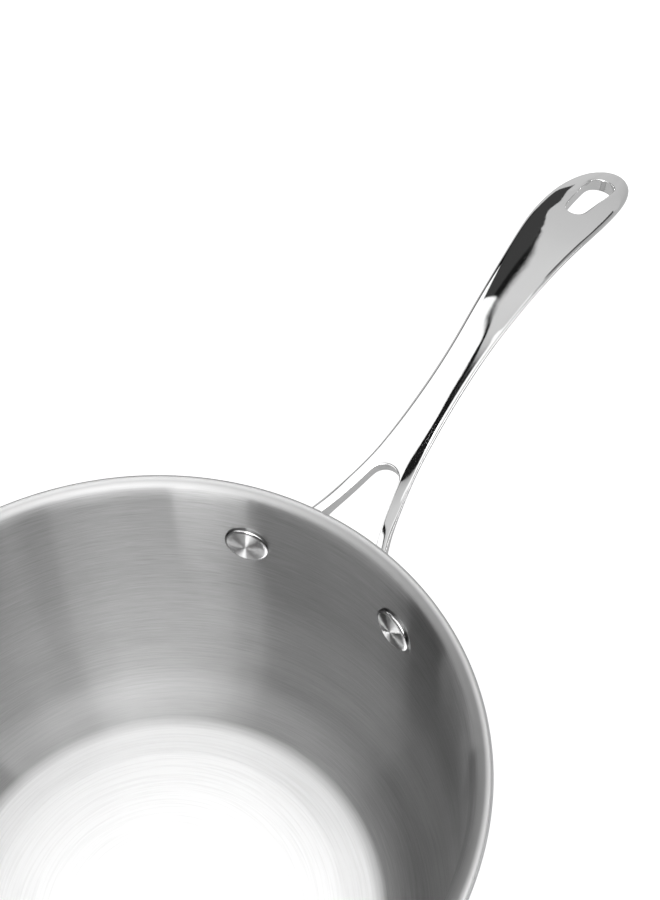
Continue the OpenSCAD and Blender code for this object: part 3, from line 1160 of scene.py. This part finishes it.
@dataclass(frozen=True)
class Tent:
    """The cloth round the stage, in upright bands: each has its angle, and its glow low, midway and high."""

    radius: float = 1.6
    height: float = 3.2
    sunk: float = 0.01
    middle_z: float = 0.65
    low_z: float = middle_z / 3
    high_z: float = 1.35
    steps: int = 128
    bands: tuple[tuple[float, float, float, float], ...] = (
        (0, 0.52, 0.52, 0.52), (20, 0.68, 0.68, 0.68), (74, 0.68, 0.68, 0.68), (80, 0.28, 0.1, 0.05),
        (96, 0.28, 0.05, 0.03), (97, 5.0, 0.03, 0.03), (115, 4.5, 0.03, 0.03), (118, 0.03, 0.03, 0.03),
        (128, 0.03, 0.03, 0.03), (134, 2.6, 0.2, 0.03), (172, 3.0, 0.2, 0.03), (183, 2.4, 0.2, 0.1),
        (184, 13.0, 0.8, 0.1), (204, 13.0, 0.8, 0.1), (205, 0.03, 0.05, 0.05), (250.3, 0.03, 0.03, 0.03),
        (262, 0.1, 0.05, 0.05), (272, 0.4, 0.2, 0.1), (280, 0.5, 0.5, 0.5), (290, 0.5, 0.5, 0.5),
        (360, 0.52, 0.52, 0.52))

    def pitch(self) -> None:
        """Stand the tent round the pan."""
        bpy.ops.mesh.primitive_cylinder_add(vertices=self.steps, radius=self.radius, depth=self.height,
                                            end_fill_type="NOTHING", location=(0, 0, 0))
        piece = Bench.named("card_tent")
        bpy.ops.object.mode_set(mode="EDIT")
        bpy.ops.mesh.select_all(action="SELECT")
        bpy.ops.transform.translate(value=(0, 0, self.height / 2 - self.sunk))
        bpy.ops.object.mode_set(mode="OBJECT")
        graph = Graph("tent_cloth")
        part = graph.math("DIVIDE", graph.math("ARCTAN2", graph.axes[1], graph.axes[0]), math.tau)
        turn = graph.math("MULTIPLY", graph.math("FRACT", graph.math("ADD", part, 1.0)), FULL_TURN)
        angles, *glows = zip(*self.bands)
        low, middle, high = (graph.ramp(turn, list(zip(angles, row)), FULL_TURN) for row in glows)
        lower = graph.blend(graph.spread(graph.axes[2], self.low_z, self.middle_z), low, middle)
        cloth = graph.blend(graph.spread(graph.axes[2], self.middle_z, self.high_z), lower, high)
        piece.data.materials.append(graph.done(graph.glow(cloth, 1.0)))
        Studio.show_in_reflections(piece)


@dataclass
class Studio:
    """The stage: camera, floor and light."""

    camera_place: Place = (-0.1340, -0.1592, 0.4720)
    camera_turn: Place = (39.954, 0.0, -54.72)
    lens: float = 61.563
    sensor_w: float = 36
    clip_start: float = 0.01
    sky_glow: float = 0.68
    floor_w: float = 6
    floor_colour: Colour = (0.8, 0.8, 0.8)
    floor_glow: float = 0.7
    cards: tuple[Card, ...] = (
        Card("white", 1.3, 600, (
            (60, 60), (104, 62), (125, 92), (133, 113), (141, 122), (156, 135), (187, 156), (200, 161),
            (221, 166.5), (264, 170.5), (282, 172), (282, 313), (336, 356), (386, 400), (436, 450),
            (420, 520), (360, 600), (300, 660), (260, 700), (200, 900), (60, 900))),
        Card("zenith", 4.5, 660, ((-300, -300), (140, -300), (140, 300), (-300, 300))),
        Card("grey", 0.8, 600, (
            (128, -900), (128, 28), (132, 45), (138, 65), (154, 98), (172, 120), (189, 140), (210, 152),
            (225, 158), (264, 164.5), (300, 165), (400, 170), (450, 177), (500, 189), (600, 212), (700, 240),
            (800, 280), (900, 325), (1000, 360), (1600, 600), (1600, -900)),
            ((128, 0.4), (137, 0.62), (150, 0.8), (180, 0.93), (290, 0.98), (400, 0.96), (600, 0.87),
             (1000, 0.81), (1600, 0.76))),
        Card("shade", 0.055, 601, (
            (282, 192), (400, 190), (450, 190), (500, 195), (600, 218), (700, 245), (800, 285), (900, 330),
            (1000, 360), (1200, 450), (1200, 600), (570, 600), (457, 478), (436, 450), (386, 400), (336, 356),
            (282, 313))),
        Card("shade_far", 0.055, 450, (
            (800, 262), (857, 278), (1120, 393), (1300, 460), (1390, 500), (1330, 620), (1250, 620),
            (900, 500), (800, 430))),
        Card("black", 0.012, 603, (
            (90, -120), (170, -120), (200, 100), (600, 180), (600, 230), (450, 198), (280, 192), (200, 175),
            (140, 160), (90, 100))),
        Card("sliver", 1.25, 598, (
            (115, -120), (148, -110), (157, -50), (168, -5), (182, -40), (184, -120), (200, -170),
            (250, -160), (285, -130), (310, -130), (305, -260), (250, -300), (200, -330), (170, -400),
            (120, -400))),
        Card("line", 0.08, 598.5, (
            (355, -60), (380, -50), (460, -40), (550, -28), (635, -12), (800, 15), (1000, 45), (1100, 60),
            (1250, 85), (1250, -30), (1150, -60), (1000, -75), (800, -90), (635, -105), (460, -125),
            (380, -140), (350, -120))),
        Card("under", 0.45, 599, (
            (170, -400), (200, -330), (250, -300), (305, -260), (310, -200), (370, -140), (460, -120),
            (635, -100), (800, -80), (1000, -70), (1150, -60), (1400, -60), (1600, -900), (170, -900))),
    )

    @staticmethod
    def show_in_reflections(piece: Piece) -> None:
        """Keep a lamp or flag out of the picture, so that only reflections show it.

        Args:
            piece: The lamp or flag.
        """
        piece.visible_camera = False
        piece.visible_diffuse = False
        piece.visible_shadow = False

    def camera(self) -> None:
        """Set the camera up as the photograph was taken."""
        data = bpy.data.cameras.new("camera")
        data.lens = self.lens
        data.sensor_width = self.sensor_w
        data.clip_start = self.clip_start
        camera = bpy.data.objects.new("camera", data)
        camera.location = self.camera_place
        camera.rotation_euler = [math.radians(a) for a in self.camera_turn]
        bpy.context.scene.collection.objects.link(camera)
        bpy.context.scene.camera = camera

    def floor(self) -> None:
        """Lay a plain pale floor that keeps the pan's shadow."""
        bpy.ops.mesh.primitive_plane_add(size=self.floor_w, location=(0, 0, 0))
        floor = Bench.named("floor")
        graph = Graph("floor_white")
        seen = graph.add("ShaderNodeLightPath").outputs["Is Camera Ray"]
        matt = graph.add("ShaderNodeBsdfDiffuse", {0: self.floor_colour})
        glow = graph.glow((1, 1, 1), self.floor_glow)
        both = graph.add("ShaderNodeAddShader", {0: matt.outputs[0], 1: glow.outputs[0]})
        floor.data.materials.append(graph.done(graph.mix(seen, matt, both)))

    def world(self) -> None:
        """Light the studio plainly from all round, with white behind the pan."""
        world = bpy.data.worlds.new("studio")
        bpy.context.scene.world = world
        world.use_nodes = True
        tree = world.node_tree
        tree.nodes["Background"].inputs[0].default_value = (1, 1, 1, 1)
        path = tree.nodes.new("ShaderNodeLightPath")
        glow = tree.nodes.new("ShaderNodeMath")
        glow.operation = "MAXIMUM"
        glow.inputs[1].default_value = self.sky_glow
        tree.links.new(path.outputs["Is Camera Ray"], glow.inputs[0])
        tree.links.new(glow.outputs[0], tree.nodes["Background"].inputs[1])

    def build(self) -> None:
        """Set the whole stage."""
        bpy.context.scene.view_settings.view_transform = "Standard"
        self.camera()
        self.floor()
        self.world()
        for card in [*self.cards, *Fan(self.camera_place).cards()]:
            card.hang()
        Tent().pitch()


def main() -> None:
    """Build the pan and its stage."""
    logging.basicConfig(level=logging.INFO, format="%(name)s: %(message)s")
    Studio().build()
    bowl = Bowl()
    plate = Plate(bowl)
    core = Metal("core_aluminium", (0.78, 0.79, 0.8), 0.3, 0.05, Brushing.ROUND, 0.03)
    outside = Metal("polished_steel", (0.72, 0.72, 0.72), 0.1, 0.02, Brushing.ROUND, 0.01)
    bowl.build(Satin(), core, outside)
    Handle(plate).build(Metal("mirror_steel", (0.8, 0.8, 0.8), 0.03, 0.01, Brushing.ALONG))
    for side in Side:
        Rivet(side, plate).build()


if __name__ == "__main__":
    main()
